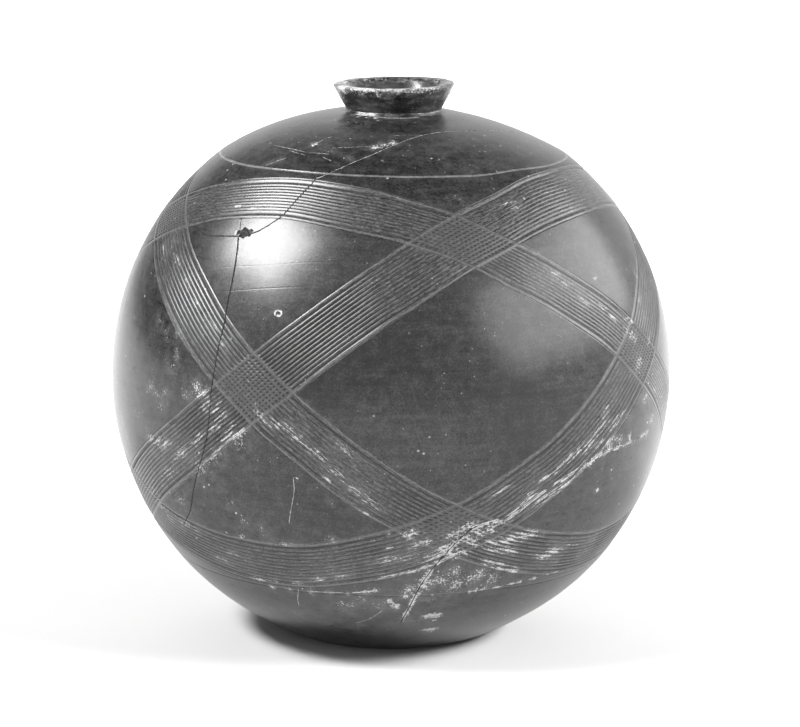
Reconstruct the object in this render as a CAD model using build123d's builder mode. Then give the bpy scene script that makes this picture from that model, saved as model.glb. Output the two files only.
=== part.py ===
"""Globular bottle of burnished black ware with a flared collar and four interlaced bands.

The vessel is hand-built from members luted together: a base bowl, two belly halves, a shoulder
cap, a small roll of clay round the neck and a flared collar. Millimetres, +Z up, with the origin
in the middle of the resting face.
"""

import os
from math import acos, asin, cos, degrees, radians, sin, sqrt

from build123d import *

# Globe
globe_radius = 120.0  # outside of the belly
foot_radius = 43.0  # flat resting face
wall = 6.5  # least wall of the globe
floor_thickness = 9.0  # clay under the inside floor
coil_height = 20.0  # clay coils that the inside wall is built from
joint_bevel = 4.0  # how far up the wall a luting joint climbs from outside to inside

# Ring lines, scored where the base bowl and the shoulder cap meet the belly
lower_ring_latitude = -38.5  # degrees above the widest line
upper_ring_latitude = 51.7
ring_depth = 0.6
ring_width = 1.6

# Bands, laid round the globe by eye, so their turns aren't quite equal
band_azimuths = (-27.4, 64.7, 147.9, 240.3)  # high side, in degrees from the front (-Y) towards +X
band_width = 22.6
band_depth = 0.5
band_ring_gap = 1.5  # between a band's edge and the ring line it comes near

# Shoulder, collar and throat
shoulder_drop = 5.4  # how far the shoulder lies under the full globe at the collar's seat
neck_radius = 20.2
neck_height = 1.6  # straight foot of the collar, under the flare
fillet_width = 2.6  # roll of clay round the collar's foot
fillet_height = 1.4
collar_height = 12.7
lip_radius = 26.0  # outer edge of the lip before it is rubbed off
lip_thickness = 4.4
lip_bevel = 1.2  # both edges of the lip are rubbed off by this much
throat_radius = 15.0
throat_rise = 4.5  # how far the throat's wall goes up inside the collar

# Cutters start this far outside the globe
cutter_clearance = 2.0


def polar(radius, latitude, centre=(0.0, 0.0)):
    """Radius and height of a point seen from a centre at an angle above the horizontal."""
    return (
        centre[0] + radius * cos(radians(latitude)),
        centre[1] + radius * sin(radians(latitude)),
    )


def arc_angle(length, radius):
    """Degrees that a length of arc takes up on a circle."""
    return degrees(length / radius)


def stepped(start, end, radius):
    """Angles from start to end, one step for each clay coil along the arc."""
    coils = max(1, round(radians(abs(end - start)) * radius / coil_height))
    return [start + (end - start) * i / coils for i in range(coils + 1)]


# Globe's centre and inside
globe_height = sqrt(globe_radius**2 - foot_radius**2)
globe_centre = (0.0, globe_height)
inner_radius = globe_radius - wall
bevel_angle = arc_angle(joint_bevel, inner_radius)
floor_latitude = -degrees(asin((globe_height - floor_thickness) / inner_radius))
foot_latitude = -degrees(acos(foot_radius / globe_radius))
ring_half = arc_angle(ring_width / 2, globe_radius)

# Shoulder's sphere, flatter than the globe, from the upper ring line to the collar's seat
ring_point = polar(globe_radius, upper_ring_latitude, globe_centre)
seat_radius = neck_radius + fillet_width
seat_height = globe_height + sqrt(globe_radius**2 - seat_radius**2) - shoulder_drop
shoulder_rise = seat_height - ring_point[1]
shoulder_span = ring_point[0] ** 2 - seat_radius**2
shoulder_depth = (shoulder_span - shoulder_rise**2) / (2 * shoulder_rise)  # centre, under the ring line
shoulder_centre = (0.0, ring_point[1] - shoulder_depth)
shoulder_radius = sqrt(ring_point[0] ** 2 + shoulder_depth**2)
shoulder_inner = shoulder_radius - wall
shoulder_start = degrees(acos(ring_point[0] / shoulder_radius))
seat_angle = degrees(acos(seat_radius / shoulder_radius))
throat_angle = degrees(acos(throat_radius / shoulder_inner))
shoulder_ring_half = arc_angle(ring_width / 2, shoulder_radius)
shoulder_bevel = shoulder_start + arc_angle(joint_bevel, shoulder_inner)

# Bands: circles that lie under the upper ring line on one side and over the lower one on the other
band_half = arc_angle(band_width / 2, globe_radius)
band_margin = band_half + arc_angle(band_ring_gap, globe_radius)
high_colatitude = 90 - (upper_ring_latitude - band_margin)
low_colatitude = 90 - (lower_ring_latitude + band_margin)
band_tilt = (low_colatitude - high_colatitude) / 2
band_opening = (low_colatitude + high_colatitude) / 2

# Luting joints of the globe: the point under the ring line or on the widest line, and the inside point
lower_joint = (
    polar(globe_radius - ring_depth, lower_ring_latitude, globe_centre),
    lower_ring_latitude + bevel_angle,
)
middle_joint = (polar(globe_radius, 0.0, globe_centre), bevel_angle)
upper_joint_point = polar(globe_radius - ring_depth, upper_ring_latitude, globe_centre)


def inside_wall(start, end):
    """Points of the inside wall between two angles, straight from coil to coil."""
    return [polar(inner_radius, angle, globe_centre) for angle in stepped(start, end, inner_radius)]


# Band cutter: a thin skin of the globe, kept only where the four tilted slabs pass through it
with BuildPart() as globe_skin:
    with Locations((0.0, 0.0, globe_height)):
        Sphere(globe_radius + cutter_clearance)
        Sphere(globe_radius - band_depth, mode=Mode.SUBTRACT)

with BuildPart() as band_cutter:
    upper_cut = globe_radius * cos(radians(band_opening - band_half))
    lower_cut = globe_radius * cos(radians(band_opening + band_half))
    for azimuth in band_azimuths:
        lean = Vector(-sin(radians(azimuth)), cos(radians(azimuth)), 0.0) * sin(radians(band_tilt))
        band_axis = lean + Vector(0.0, 0.0, cos(radians(band_tilt)))
        slab_middle = Vector(0.0, 0.0, globe_height) + band_axis * (upper_cut + lower_cut) / 2
        with Locations(Plane(slab_middle, z_dir=band_axis)):
            Cylinder(globe_radius + 2 * cutter_clearance, upper_cut - lower_cut)
    add(globe_skin.part, mode=Mode.INTERSECT)

# Base bowl: flat resting face, round wall up to the lower ring line, flat floor inside
with BuildPart() as base_bowl:
    with BuildSketch(Plane.XZ):
        with BuildLine():
            foot_edge = (foot_radius, 0.0)
            ring_edge = polar(globe_radius, lower_ring_latitude - ring_half, globe_centre)
            belly_point = polar(globe_radius, (foot_latitude + lower_ring_latitude) / 2, globe_centre)
            inside = inside_wall(lower_joint[1], floor_latitude)
            Line((0.0, 0.0), foot_edge)
            ThreePointArc(foot_edge, belly_point, ring_edge)
            Polyline(ring_edge, lower_joint[0], *inside, (0.0, floor_thickness), (0.0, 0.0))
        make_face()
    revolve(axis=Axis.Z)
base_bowl.part.label = "base_bowl"

# Lower belly: from the lower ring line to the widest line
with BuildPart() as lower_belly:
    with BuildSketch(Plane.XZ):
        with BuildLine():
            ring_edge = polar(globe_radius, lower_ring_latitude + ring_half, globe_centre)
            belly_point = polar(globe_radius, lower_ring_latitude / 2, globe_centre)
            inside = inside_wall(middle_joint[1], lower_joint[1])
            ThreePointArc(ring_edge, belly_point, middle_joint[0])
            Polyline(middle_joint[0], *inside, lower_joint[0], ring_edge)
        make_face()
    revolve(axis=Axis.Z)
    add(band_cutter.part, mode=Mode.SUBTRACT)
lower_belly.part.label = "lower_belly"

# Upper belly: from the widest line to the upper ring line
with BuildPart() as upper_belly:
    with BuildSketch(Plane.XZ):
        with BuildLine():
            ring_edge = polar(globe_radius, upper_ring_latitude - ring_half, globe_centre)
            belly_point = polar(globe_radius, upper_ring_latitude / 2, globe_centre)
            joint_inside = polar(shoulder_inner, shoulder_bevel, shoulder_centre)
            inside = inside_wall(upper_ring_latitude, middle_joint[1])[1:]
            ThreePointArc(middle_joint[0], belly_point, ring_edge)
            Polyline(ring_edge, upper_joint_point, joint_inside, *inside, middle_joint[0])
        make_face()
    revolve(axis=Axis.Z)
    add(band_cutter.part, mode=Mode.SUBTRACT)
upper_belly.part.label = "upper_belly"

# Shoulder cap: flatter than the globe, with the throat's hole and the collar's flat seat
with BuildPart() as shoulder_cap:
    with BuildSketch(Plane.XZ):
        with BuildLine():
            ring_edge = polar(shoulder_radius, shoulder_start + shoulder_ring_half, shoulder_centre)
            crown_point = polar(shoulder_radius, (shoulder_start + seat_angle) / 2, shoulder_centre)
            seat_edge = (seat_radius, seat_height)
            coils = stepped(throat_angle, shoulder_bevel, shoulder_inner)
            inside = [polar(shoulder_inner, angle, shoulder_centre) for angle in coils]
            ThreePointArc(ring_edge, crown_point, seat_edge)
            Polyline(seat_edge, (throat_radius, seat_height), *inside, upper_joint_point, ring_edge)
        make_face()
    revolve(axis=Axis.Z)
shoulder_cap.part.label = "shoulder_cap"

# Luting fillet: roll of clay pressed into the corner between the seat and the collar's foot
with BuildPart() as luting_fillet:
    with BuildSketch(Plane.XZ):
        with BuildLine():
            Polyline(
                (neck_radius, seat_height),
                (seat_radius, seat_height),
                (neck_radius, seat_height + fillet_height),
                close=True,
            )
        make_face()
    revolve(axis=Axis.Z)
luting_fillet.part.label = "luting_fillet"

# Neck collar: straight foot, flare, rounded lip, and a funnel down to the throat
with BuildPart() as neck_collar:
    with BuildSketch(Plane.XZ):
        with BuildLine():
            rim_height = seat_height + collar_height
            Polyline(
                (throat_radius, seat_height),
                (neck_radius, seat_height),
                (neck_radius, seat_height + neck_height),
                (lip_radius, rim_height),
                (lip_radius - lip_thickness, rim_height),
                (throat_radius, seat_height + throat_rise),
                close=True,
            )
        make_face()
    revolve(axis=Axis.Z)
    lip_edges = neck_collar.edges().group_by(Axis.Z)[-1]
    chamfer(lip_edges, length=lip_bevel)
neck_collar.part.label = "neck_collar"

members = (base_bowl, lower_belly, upper_belly, shoulder_cap, luting_fillet, neck_collar)

os.makedirs("parts", exist_ok=True)
for member in members:
    export_step(member.part, f"parts/{member.part.label}.step")
    print(f"{member.part.label}: {member.part.volume / 1000:.1f} cm3")

print(f"band tilt {band_tilt:.2f}, opening {band_opening:.2f} degrees")
print(f"globe centre {globe_height:.2f}, seat {seat_height:.2f}, rim {seat_height + collar_height:.2f} mm")
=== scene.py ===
from math import atan2, ceil, cos, hypot, pi, radians, sin, sqrt

import bmesh
import bpy
import numpy as np
from mathutils import Matrix, Vector
from mathutils.geometry import delaunay_2d_cdt


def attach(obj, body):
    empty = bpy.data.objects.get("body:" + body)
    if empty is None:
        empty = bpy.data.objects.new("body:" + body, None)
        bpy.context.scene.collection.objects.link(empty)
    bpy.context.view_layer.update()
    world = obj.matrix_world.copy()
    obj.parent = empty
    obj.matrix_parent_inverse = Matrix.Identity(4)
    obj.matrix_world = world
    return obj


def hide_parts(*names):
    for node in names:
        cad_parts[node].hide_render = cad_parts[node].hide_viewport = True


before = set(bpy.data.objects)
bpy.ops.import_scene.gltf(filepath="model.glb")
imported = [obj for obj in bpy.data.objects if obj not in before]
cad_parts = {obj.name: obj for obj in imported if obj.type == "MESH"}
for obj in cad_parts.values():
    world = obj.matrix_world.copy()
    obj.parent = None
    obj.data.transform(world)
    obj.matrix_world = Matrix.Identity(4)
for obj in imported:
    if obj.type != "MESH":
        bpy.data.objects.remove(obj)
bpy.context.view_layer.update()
mm = 0.001
scene = bpy.context.scene


def added(name, data):
    thing = bpy.data.objects.new(name, data)
    scene.collection.objects.link(thing)
    return thing


def meshOf(name, points, faces):  # points in mm
    data = bpy.data.meshes.new(name)
    data.from_pydata((np.array(points) * mm).tolist(), [], faces)
    return data


# camera, fitted to the globe's outline, the ring lines and the bands
view = dict(
    frameSize=(800, 727),
    centrePixel=(391.14, 370.42),  # where the globe's centre falls
    focalPixels=3343.0,
    sensor=36.0,
    elevation=11.311,
    roll=0.575,
    distance=1440.0,
    clipStart=0.05,
)
globe = dict(
    radius=120.0,
    centreHeight=112.03,
    upperRing=52.0,  # latitudes of the two scored ring lines
    lowerRing=-38.6,
    footLatitude=-68.6,
    ringHalf=0.36,
    ringDepth=(0.24, 0.26),  # upper and lower
    ringPale=(1.0, 0.3),
    ringRows=(-0.55, -0.44, -0.36, -0.18, 0.0, 0.18, 0.36, 0.44, 0.55),  # degrees each side of a ring line
    columns=400,
    stepAlong=2.4,  # along a band
    panelStep=1.5,  # degrees between points of a plain panel
    borderGap=0.45,  # share of that step by which they keep from the panel's border
    unevenness=0.2,
    handWobble=0.16,  # degrees that scored lines stray by
    wobbleSize=45,
    wobbleSeeds=(21, 22, 23),
    calmFoot=(-64, -58),  # latitudes between which the unevenness comes in
    calmSeat=(1, 6),  # degrees under the collar's seat
)


def unit(v):
    return v / np.linalg.norm(v, axis=-1, keepdims=True)


def direction(azimuth, latitude):
    a, l = np.radians(azimuth), np.radians(latitude)
    return np.stack([np.cos(l) * np.sin(a), -np.cos(l) * np.cos(a), np.sin(l) + 0 * a], -1)


def ripple(points, seed, size, waves=9):  # smooth noise of about +-1, with bumps of this size in mm
    rng = np.random.default_rng(seed)
    turns = unit(rng.normal(size=(waves, 3))) * rng.uniform(0.6, 1.5, (waves, 1)) * 2 * pi / size
    phase = rng.uniform(0, 2 * pi, waves)
    return np.sin(points @ turns.T + phase).sum(-1) / sqrt(waves)


def smooth(low, high, x):
    t = np.clip((x - low) / (high - low), 0, 1)
    return t * t * (3 - 2 * t)


def latitudeOf(p):
    return np.degrees(np.arcsin(np.clip(p[:, 2], -1, 1)))


def gridQuads(index):
    return np.stack([index[:-1, :-1], index[:-1, 1:], index[1:, 1:], index[1:, :-1]], -1).reshape(-1, 4)


def chains(onward):  # closed loops, from each point's next one
    loops = []
    while onward:
        loop = [next(iter(onward))]
        while loop[-1] in onward:
            loop.append(onward.pop(loop[-1]))
        loops.append(loop[:-1])
    return loops


lift, roll = radians(view["elevation"]), radians(view["roll"])
forward = np.array([0, cos(lift), -sin(lift)])
level, steep = np.array([1.0, 0, 0]), np.array([0, sin(lift), cos(lift)])
rightward = cos(roll) * level + sin(roll) * steep
upward = cos(roll) * steep - sin(roll) * level
eye = -view["distance"] * forward  # from the globe's centre
middle = np.array([0, 0, globe["centreHeight"]])

lens = bpy.data.cameras.new("camera")
lens.sensor_width = view["sensor"]
lens.lens = view["focalPixels"] * view["sensor"] / view["frameSize"][0]
lens.shift_x = (view["frameSize"][0] / 2 - view["centrePixel"][0]) / view["frameSize"][0]
lens.shift_y = (view["centrePixel"][1] - view["frameSize"][1] / 2) / view["frameSize"][0]
lens.clip_start = view["clipStart"]
camera = added("camera", lens)
turn = Matrix([rightward, upward, -forward]).transposed().to_4x4()
camera.matrix_world = Matrix.Translation(Vector((middle + eye) * mm)) @ turn
scene.camera = camera

# shoulder, flatter than the globe, and fuller on the left than on the right
shoulder = dict(
    seatRadius=22.8,
    seatHeight=224.45,
    fullness=1.1,
    fullSide=-100.0,  # azimuth of the fuller side
    rowStep=1.3,
)
ringRadius = globe["radius"] * cos(radians(globe["upperRing"]))
ringHeight = globe["radius"] * sin(radians(globe["upperRing"]))
seatRise = shoulder["seatHeight"] - globe["centreHeight"] - ringHeight
crownDepth = (ringRadius**2 - shoulder["seatRadius"] ** 2 - seatRise**2) / (2 * seatRise)
crownDrop = crownDepth - ringHeight  # the crown's centre lies this far under the globe's
crownRadius = hypot(ringRadius, crownDepth)
seatLatitude = np.degrees(atan2(ringHeight + seatRise, shoulder["seatRadius"]))


def plainRadius(p):  # globe below the upper ring line, crown above it
    crown = np.sqrt(crownRadius**2 - crownDrop**2 * (1 - p[:, 2] ** 2)) - crownDrop * p[:, 2]
    latitude = latitudeOf(p)
    azimuth = np.degrees(np.arctan2(p[:, 0], -p[:, 1]))
    along = np.clip((latitude - globe["upperRing"]) / (seatLatitude - globe["upperRing"]), 0, 1)
    side = 0.5 + 0.5 * np.cos(np.radians(azimuth - shoulder["fullSide"]))
    crown = crown + shoulder["fullness"] * np.sin(pi * along**0.8) * side
    return np.where(latitude > globe["upperRing"], crown, globe["radius"])


def onSkin(pixels):  # directions, from the globe's centre, of the points seen at these pixels
    pixels = np.atleast_2d(np.array(pixels, float))
    sideways = (pixels[:, :1] - view["centrePixel"][0]) / view["focalPixels"]
    downward = (pixels[:, 1:] - view["centrePixel"][1]) / view["focalPixels"]
    ray = unit(forward + sideways * rightward - downward * upward)
    reach = np.full(len(ray), globe["radius"])
    for _ in range(6):
        b = ray @ eye
        q = np.maximum(b * b - (eye @ eye - reach**2), 0)
        p = unit(eye + (-b - np.sqrt(q))[:, None] * ray)
        reach = plainRadius(p)
    return p


# four combed bands, each a tilted circle round the globe
comb = dict(
    ridgeShare=0.27,  # of the pitch, from the middle of a ridge to its shoulder
    fineDepth=0.42,
    edgeDepth=0.4,
    outerDepth=0.14,
    pitDepth=0.56,  # where the grooves of two bands meet
    beadHeight=0.11,
    pitPower=1.15,
    groovePower=1.3,
    fineRipple=0.18,  # share by which the grooves' depth varies
    edgeRipple=0.12,
    pressedEdge=0.6,  # share of an edge groove that follows how hard the hand pressed
    fullGroove=0.5,
    sunk=0.1,  # ridges lie this far under the panels
    beadHalf=0.21,  # degrees
    outerFrom=0.19,
    outerEdge=0.43,
    crossedEdge=0.1,  # share of an edge groove and of a bead that is left inside another band
    crossedBead=0.9,
    strayBlur=(-5, -2.5, 0, 2.5, 5),  # degrees along a band over which its straying is averaged
    strayFade=(7, 1),  # degrees outside a band between which it comes in
    guard=(0.55, 0.75),  # plain rows, so that the panels' shine stays even up to the band
)
bands = [  # turns along the band, with the degrees that the hand strayed there and how hard it pressed
    dict(
        azimuth=-28.1, high=45.05, low=-32.5, half=4.67, ridges=10, pitch=0.755,
        wander=[(-40, 0), (12, 0.35), (34, -0.2), (50, 0)],
        press=[(-30, 0.7), (10, 0.7), (40, 0.7), (90, 0.7), (180, 1.0)],
    ),
    dict(
        azimuth=64.7, high=45.2, low=-31.85, half=5.35, ridges=12, pitch=0.77,
        wander=[(-130, 0), (-110, -0.25), (-84, -0.4), (-72, 0.1), (-36, 0.75), (-12, 0.35), (8, 0)],
        press=[(-110, 0.75), (-90, 1.3), (-62, 1.3), (-50, 0.75), (-36, 0.4), (0, 0.34), (40, 0.5), (180, 1.0)],
    ),
    dict(
        azimuth=-119.9, high=45.15, low=-31.8, half=5.25, ridges=10, pitch=0.87,
        wander=[(25, 0), (45, -0.7), (78, -0.65), (90, -0.1), (104, -0.3), (136, -0.3)]
        + [(158, -0.6), (180, -0.25), (210, 0)],
        press=[(40, 1.0), (86, 1.0), (96, 0.75), (130, 0.7), (146, 0.95), (200, 1.0)],
    ),
    dict(
        azimuth=147.9, high=44.9, low=-31.57, half=5.6, ridges=10, pitch=0.92,
        wander=[(160, 0), (186, -0.5), (202, -0.4), (216, 0), (228, -0.3), (246, 0.05), (270, -0.1)],
        press=[(0, 1.0), (186, 0.8), (230, 0.8), (270, 0.8)],
    ),
]
for band in bands:
    tilt = radians((band["high"] - band["low"]) / 2)
    band["opening"] = radians(90 - (band["high"] + band["low"]) / 2)
    towards = direction(band["azimuth"], 0.0)
    band["axis"] = cos(tilt) * np.array([0, 0, 1.0]) - sin(tilt) * towards
    band["toHigh"] = sin(tilt) * np.array([0, 0, 1.0]) + cos(tilt) * towards
    band["aside"] = np.cross(band["axis"], band["toHigh"])
    band["last"] = (band["ridges"] - 1) / 2 * band["pitch"]  # outermost fine ridge
    band["edge"] = band["half"] + comb["outerEdge"]
    fine = (np.arange(band["ridges"]) - (band["ridges"] - 1) / 2) * band["pitch"]
    ridgeRows = (fine[:, None] + band["pitch"] * comb["ridgeShare"] * np.array([-1, 0, 1])).ravel()
    gap = band["half"] - comb["beadHalf"] - fine[-1]
    edgeRows = [fine[-1] + gap * share for share in (0.5, 0.75, 1.0)]
    outerMiddle = (comb["outerFrom"] + comb["outerEdge"]) / 2
    steps = (-0.13, 0, 0.13, comb["beadHalf"], outerMiddle, comb["outerEdge"], *comb["guard"])
    edgeRows += [band["half"] + step for step in steps]
    edgeRows = np.array(edgeRows)
    band["rows"] = np.sort(np.concatenate([ridgeRows, (fine[:-1] + fine[1:]) / 2, edgeRows, -edgeRows]))


def across(band, p):  # degrees from the band's middle line, positive towards its axis
    return np.degrees(band["opening"] - np.arccos(np.clip(p @ band["axis"], -1, 1)))


def combing(band, s):  # fine grooves, border, edge grooves, beads, and whether the point is in the band
    a = np.abs(s)
    inside = a < band["edge"] - 1e-6
    wave = np.cos(2 * pi * (s / band["pitch"] - (band["ridges"] - 1) / 2))
    fine = np.where(a <= band["last"], ((1 - wave) / 2) ** comb["groovePower"], 0)
    inner = np.clip((a - band["last"]) / (band["half"] - comb["beadHalf"] - band["last"]), 0, 1)
    outer = np.clip((a - band["half"] - comb["outerFrom"]) / (comb["outerEdge"] - comb["outerFrom"]), 0, 1)
    border = np.sin(pi * inner) ** 2
    edge = comb["edgeDepth"] * border + comb["outerDepth"] * np.sin(pi * outer) ** 2
    bead = np.clip(1 - np.abs(a - band["half"]) / (comb["beadHalf"] + 0.06), 0, 1)
    return fine * inside, border * inside, edge * inside, bead * inside, inside


def turnOf(band, p):
    return np.arctan2(p @ band["aside"], p @ band["toHigh"])


def calm(p):  # fades out at the foot and at the collar's seat
    latitude = latitudeOf(p)
    return smooth(*globe["calmFoot"], latitude) * smooth(*globe["calmSeat"], seatLatitude - latitude)


def straying(p):  # how far scored lines lie from true circles
    wobble = [ripple(p * globe["radius"], seed, globe["wobbleSize"]) for seed in globe["wobbleSeeds"]]
    move = np.stack(wobble, -1) * radians(globe["handWobble"])
    for band in bands:
        turnAt, shift = np.array(band["wander"]).T
        turns = np.degrees(turnOf(band, p))
        blur = [np.interp(turns + step, turnAt, shift, period=360) for step in comb["strayBlur"]]
        shift = sum(blur) / len(blur)
        near = smooth(*(band["half"] + far for far in comb["strayFade"]), np.abs(across(band, p)))
        move += unit(band["axis"] - (p @ band["axis"])[:, None] * p) * (np.radians(shift) * near)[:, None]
    return move * calm(p)[:, None]


def markedAt(pixels):  # points that straying brings to what is seen at these pixels
    seen = p = onSkin(pixels)
    for _ in range(5):
        p = unit(seen - straying(p))
    return p


class Skin:
    def __init__(self):
        self.points, self.count, self.faces = [], 0, []

    def place(self, points):
        index = np.arange(self.count, self.count + points[..., 0].size).reshape(points.shape[:-1])
        self.points.append(points.reshape(-1, 3))
        self.count += index.size
        return index

    def at(self, index):
        return np.concatenate(self.points)[index]

    def weave(self, index, closed=False):  # quads over a grid of points, facing outwards
        if closed:
            index = np.concatenate([index, index[:, :1]], 1)
        quads = gridQuads(index)
        a, b, _, d = self.at(quads[len(quads) // 2])
        self.faces.append(quads if np.cross(b - a, d - a) @ a > 0 else quads[:, ::-1])


def meeting(first, second, s, t, side):  # points at these distances from two bands' middle lines
    a, b = np.cos(first["opening"] - np.radians(s)), np.cos(second["opening"] - np.radians(t))
    g = first["axis"] @ second["axis"]
    k = 1 - g * g
    alpha, beta = (a - g * b) / k, (b - g * a) / k
    gamma = side * np.sqrt((1 - alpha * a - beta * b) / k)
    parts = (alpha, first["axis"]), (beta, second["axis"]), (gamma, np.cross(first["axis"], second["axis"]))
    return sum(share[..., None] * axis for share, axis in parts)


def alongBand(band, s, turnAngle):
    wide = band["opening"] - np.radians(s)[..., None]
    around = np.cos(turnAngle)[..., None] * band["toHigh"] + np.sin(turnAngle)[..., None] * band["aside"]
    return np.cos(wide) * band["axis"] + np.sin(wide) * around


skin = Skin()
stops = [[] for _ in bands]  # crossings along each band: turn, columns at its start and end
for i, first in enumerate(bands):
    for j, second in enumerate(bands[i + 1 :], i + 1):
        for side in (1, -1):
            s, t = np.meshgrid(first["rows"], second["rows"], indexing="ij")
            index = skin.place(meeting(first, second, s, t, side))
            skin.weave(index)
            zero = np.zeros(1)
            centre = meeting(first, second, zero, zero, side)[0]
            for own, other, grid, number in ((first, second, index, i), (second, first, index.T, j)):
                here = turnOf(own, centre)
                ahead = alongBand(own, zero, np.array([here + 0.01]))
                rising = across(other, ahead)[0] > 0
                enter, leave = (grid[:, 0], grid[:, -1]) if rising else (grid[:, -1], grid[:, 0])
                stops[number].append((here, enter, leave))

for band, crossings in zip(bands, stops):
    crossings.sort(key=lambda stop: stop[0])
    for stop, following in zip(crossings, crossings[1:] + crossings[:1]):
        start, end = turnOf(band, skin.at(stop[2])), turnOf(band, skin.at(following[1]))
        start = stop[0] + (start - stop[0] + pi) % (2 * pi) - pi
        end = start + (end - start) % (2 * pi)
        length = (end - start).mean() * sin(band["opening"]) * globe["radius"]
        steps = max(2, ceil(length / globe["stepAlong"]))
        share = np.arange(1, steps) / steps
        turns = start[:, None] + (end - start)[:, None] * share
        rows = np.repeat(band["rows"][:, None], steps - 1, 1)
        between = skin.place(alongBand(band, rows, turns))
        skin.weave(np.concatenate([stop[2][:, None], between, following[1][:, None]], 1))
print("bands laid:", skin.count, "points")

# loops of open edges, each the border of a plain panel
quads = np.concatenate(skin.faces)
halfEdges = np.stack([quads, np.roll(quads, -1, 1)], -1).reshape(-1, 2)
keys = np.sort(halfEdges, 1) @ np.array([skin.count, 1])
_, place, times = np.unique(keys, return_index=True, return_counts=True)
onward = {int(b): int(a) for a, b in halfEdges[place[times == 1]]}
loops = [np.array(loop) for loop in chains(onward)]
print("panels:", len(loops))

# ring lines, shoulder and base, in rows round the axis
azimuths = np.arange(globe["columns"]) * 360 / globe["columns"]


def ringRows(latitudes):
    return skin.place(direction(*np.meshgrid(azimuths, np.array(latitudes))))


upperRing, lowerRing = (ringRows(np.add(globe[k], globe["ringRows"])) for k in ("upperRing", "lowerRing"))
crownSteps = round((seatLatitude - globe["upperRing"]) / shoulder["rowStep"])
bowlSteps = round((globe["lowerRing"] - globe["footLatitude"]) / shoulder["rowStep"])
crownRows = ringRows(np.linspace(globe["upperRing"] + globe["ringRows"][-1], seatLatitude, crownSteps + 1)[1:])
bowlTop = globe["lowerRing"] + globe["ringRows"][0]
bowlRows = ringRows(np.linspace(globe["footLatitude"], bowlTop, bowlSteps + 1)[:-1])
skin.weave(np.concatenate([upperRing, crownRows]), closed=True)
skin.weave(np.concatenate([bowlRows, lowerRing]), closed=True)


# marks that need a finer mesh than the panels: a chip where cracks meet, and a small ring mark
chip = dict(pixel=(244.0, 232.6), size=(3.5, 1.8), depth=0.75, ragged=0.3, floor=(0.7, 0.4))
ringMark = dict(pixel=(278.0, 313.5), radius=1.15, wide=1.3, half=0.62, depth=0.14)
fineVerge = dict(wide=0.7, coarser=2.5)  # between a fine spot and its panel
fineSpots = [
    dict(at=markedAt(chip["pixel"])[0], radius=2.0, step=0.19),
    dict(at=markedAt(ringMark["pixel"])[0], radius=1.1, step=0.16),
]


def insideLoops(flat, starts, ends):
    x, y = flat[:, :1], flat[:, 1:]
    (ax, ay), (bx, by) = starts.T, ends.T
    spans = (ay > y) != (by > y)
    slope = np.where(by == ay, 1, by - ay)
    return (spans & (x < (bx - ax) * (y - ay) / slope + ax)).sum(1) % 2 == 1


def hexGrid(low, high, step):
    rows = np.arange(low[1], high[1], step * 0.866)
    columns = np.arange(low[0], high[0], step)
    x, y = np.meshgrid(columns, rows)
    return np.stack([x + step / 2 * (np.arange(len(rows)) % 2)[:, None], y], -1).reshape(-1, 2)


def fillPanel(panelLoops, centre):
    border = np.concatenate(panelLoops)
    east = unit(np.cross([0, 0.02, 1.0], centre))
    north = np.cross(centre, east)

    def flatten(p):
        aside, ahead, deep = p @ east, p @ north, p @ centre
        wide = np.degrees(np.arctan2(np.hypot(aside, ahead), deep))
        return (wide / np.maximum(np.hypot(aside, ahead), 1e-9))[:, None] * np.stack([aside, ahead], -1)

    def lifted(flat):
        wide = np.hypot(*flat.T)
        sine = np.where(wide < 1e-9, radians(1), np.sin(np.radians(wide)) / np.maximum(wide, 1e-9))[:, None]
        return sine * (flat[:, :1] * east + flat[:, 1:] * north) + np.cos(np.radians(wide))[:, None] * centre

    flat = flatten(skin.at(border))
    ends = np.concatenate([flatten(skin.at(np.roll(loop, -1))) for loop in panelLoops])
    inner = hexGrid(flat.min(0), flat.max(0), globe["panelStep"])
    for spot in fineSpots:
        if spot["at"] @ centre < 0.3:
            continue
        here = flatten(spot["at"][None])[0]
        inner = inner[np.hypot(*(inner - here).T) > spot["radius"] + globe["panelStep"] / 2]
        verge = spot["radius"] + fineVerge["wide"], spot["step"] * fineVerge["coarser"]
        for radius, step in ((spot["radius"], spot["step"]), verge):
            dense = here + hexGrid((-radius, -radius), (radius, radius), step)
            far = np.hypot(*(dense - here).T)
            inner = np.concatenate([inner, dense[(far < radius) & ((step == spot["step"]) | (far > spot["radius"]))]])
    inner = inner[insideLoops(inner, flat, ends)]
    nearest = np.array([np.hypot(*(flat - q).T).min() for q in inner])
    inner = inner[nearest > globe["borderGap"] * globe["panelStep"]]
    own = np.concatenate([border, skin.place(lifted(inner))])
    sizes = np.cumsum([0] + [len(loop) for loop in panelLoops])
    edges = [(a + k, a + (k + 1) % (b - a)) for a, b in zip(sizes, sizes[1:]) for k in range(b - a)]
    spread = np.concatenate([flat, inner])
    verts, _, tris, origin, _, _ = delaunay_2d_cdt([Vector(q) for q in spread], edges, [], 0, 1e-6)
    verts, tris = np.array(verts), np.array(tris)
    tris = tris[insideLoops(verts[tris].mean(1), flat, ends)]
    back = np.array([sources[0] for sources in origin])
    corners = own[back[tris]]
    a, b, c = (skin.at(corners[:, k]) for k in range(3))
    facing = (np.cross(b - a, c - a) * a).sum(1) < 0
    corners[facing] = corners[facing, ::-1]
    skin.faces.append(corners)


for loop in loops:
    reach = skin.at(loop).mean(0)
    aroundPole = np.hypot(*reach[:2]) < 0.12 and abs(reach[2]) > 0.4
    if aroundPole:
        fillPanel([loop, upperRing[0] if reach[2] > 0 else lowerRing[-1]], np.array([0, 0, np.sign(reach[2])]))
    else:
        fillPanel([loop], unit(reach))
print("panels filled:", skin.count, "points")

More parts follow.
